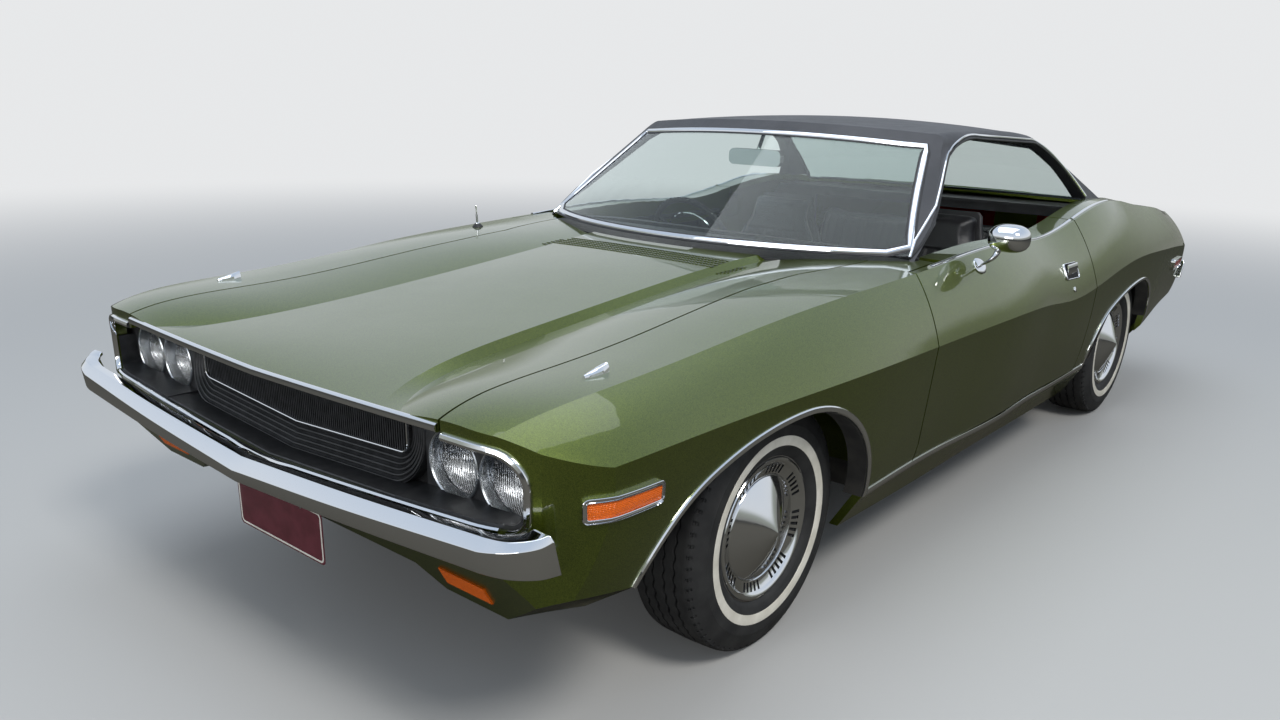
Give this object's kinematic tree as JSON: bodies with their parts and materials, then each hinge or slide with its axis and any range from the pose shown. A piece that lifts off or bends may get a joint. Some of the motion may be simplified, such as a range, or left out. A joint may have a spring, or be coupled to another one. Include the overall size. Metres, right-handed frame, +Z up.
{
  "type": "two-door hardtop muscle car",
  "caption": "Two-door hardtop muscle car with a vinyl roof, opening doors, hood and trunk lid, steered front wheels and a full interior.",
  "frame": {"origin": "on the ground, at mid-length and mid-width", "axes": "+X to the nose, +Y to the car's left, +Z up"},
  "size_m": [4.8594, 1.998, 1.2927],
  "materials": {
    "body_paint": "gloss",
    "roof_vinyl": "matte",
    "chrome": "polished",
    "glass": "gloss",
    "lamp_glass": "gloss",
    "amber_lens": "gloss",
    "red_lens": "gloss",
    "grille_grey": "satin",
    "tyre_rubber": "matte",
    "wheel_steel": "polished",
    "trim_vinyl": "satin",
    "underbody": "satin",
    "bare_metal": "satin"
  },
  "bodies": {
    "root": {"console": "trim_vinyl", "cowl": "body_paint", "dashboard": "trim_vinyl", "driveline": "bare_metal", "engine": "bare_metal", "exhaust": "bare_metal", "floor_pan": "underbody", "front_bumper": "chrome", "front_seats": "trim_vinyl", "front_structure": "underbody", "front_suspension": "underbody", "front_valance": "body_paint", "fuel_tank": "bare_metal", "grille": "grille_grey", "headlamps": "lamp_glass", "inside_mirror": "chrome", "lamp_bezels": "grille_grey", "left_front_fender": "body_paint", "left_quarter_panel": "body_paint", "marker_lamps": "amber_lens", "rear_axle": "underbody", "rear_bumper": "chrome", "rear_seat": "trim_vinyl", "rear_shelf": "trim_vinyl", "rear_window": "glass", "right_front_fender": "body_paint", "right_quarter_panel": "body_paint", "rocker_panels": "body_paint", "roof": "roof_vinyl", "steering_column": "trim_vinyl", "tail_lamps": "red_lens", "tail_panel": "body_paint", "turn_lamps": "amber_lens", "wheelhouses": "underbody", "windscreen": "glass"},
    "hood": {"hood": "body_paint"},
    "trunk_lid": {"trunk_lid": "body_paint"},
    "left_door": {"left_door": "body_paint", "door_mirror": "chrome"},
    "right_door": {"right_door": "body_paint"},
    "left_knuckle": {"left_knuckle": "bare_metal"},
    "right_knuckle": {"right_knuckle": "bare_metal"},
    "steering_wheel": {"steering_wheel": "trim_vinyl"},
    "front_left_wheel": {"front_left_wheel": "wheel_steel", "front_left_tyre": "tyre_rubber"},
    "front_right_wheel": {"front_right_wheel": "wheel_steel", "front_right_tyre": "tyre_rubber"},
    "rear_left_wheel": {"rear_left_wheel": "wheel_steel", "rear_left_tyre": "tyre_rubber"},
    "rear_right_wheel": {"rear_right_wheel": "wheel_steel", "rear_right_tyre": "tyre_rubber"}
  },
  "joints": [
    {"name": "left_steer", "type": "hinge", "parent": "root", "child": "left_knuckle", "pos_m": [1.4825, 0.7, 0.328], "axis": [0, 0, 1], "range_deg": [-32, 32]},
    {"name": "right_steer", "type": "hinge", "parent": "root", "child": "right_knuckle", "pos_m": [1.4825, -0.7, 0.328], "axis": [0, 0, 1], "range_deg": [-32, 32]},
    {"name": "steering_wheel_turn", "type": "hinge", "parent": "root", "child": "steering_wheel", "pos_m": [0.227, -0.37, 0.803], "axis": [-0.9063, 0, 0.4226], "range_deg": [-512, 512]},
    {"name": "front_left_roll", "type": "hinge", "parent": "left_knuckle", "child": "front_left_wheel", "pos_m": [1.4825, 0.758, 0.328], "axis": [0, 1, 0], "continuous": true},
    {"name": "front_right_roll", "type": "hinge", "parent": "right_knuckle", "child": "front_right_wheel", "pos_m": [1.4825, -0.758, 0.328], "axis": [0, 1, 0], "continuous": true},
    {"name": "rear_left_roll", "type": "hinge", "parent": "root", "child": "rear_left_wheel", "pos_m": [-1.3115, 0.771, 0.328], "axis": [0, 1, 0], "continuous": true},
    {"name": "rear_right_roll", "type": "hinge", "parent": "root", "child": "rear_right_wheel", "pos_m": [-1.3115, -0.771, 0.328], "axis": [0, 1, 0], "continuous": true},
    {"name": "left_door_open", "type": "hinge", "parent": "root", "child": "left_door", "pos_m": [0.786, 0.958, 0.64], "axis": [0, 0, -1], "range_deg": [0, 65]},
    {"name": "right_door_open", "type": "hinge", "parent": "root", "child": "right_door", "pos_m": [0.786, -0.958, 0.64], "axis": [0, 0, 1], "range_deg": [0, 65]},
    {"name": "hood_open", "type": "hinge", "parent": "root", "child": "hood", "pos_m": [0.71, 0, 0.9], "axis": [0, -1, 0], "range_deg": [0, 45]},
    {"name": "trunk_lid_open", "type": "hinge", "parent": "root", "child": "trunk_lid", "pos_m": [-1.345, 0, 0.975], "axis": [0, 1, 0], "range_deg": [0, 65]}
  ],
  "couplings": [
    {"joint": "right_steer", "follows": "left_steer", "ratio": 1},
    {"joint": "steering_wheel_turn", "follows": "left_steer", "ratio": 16}
  ]
}
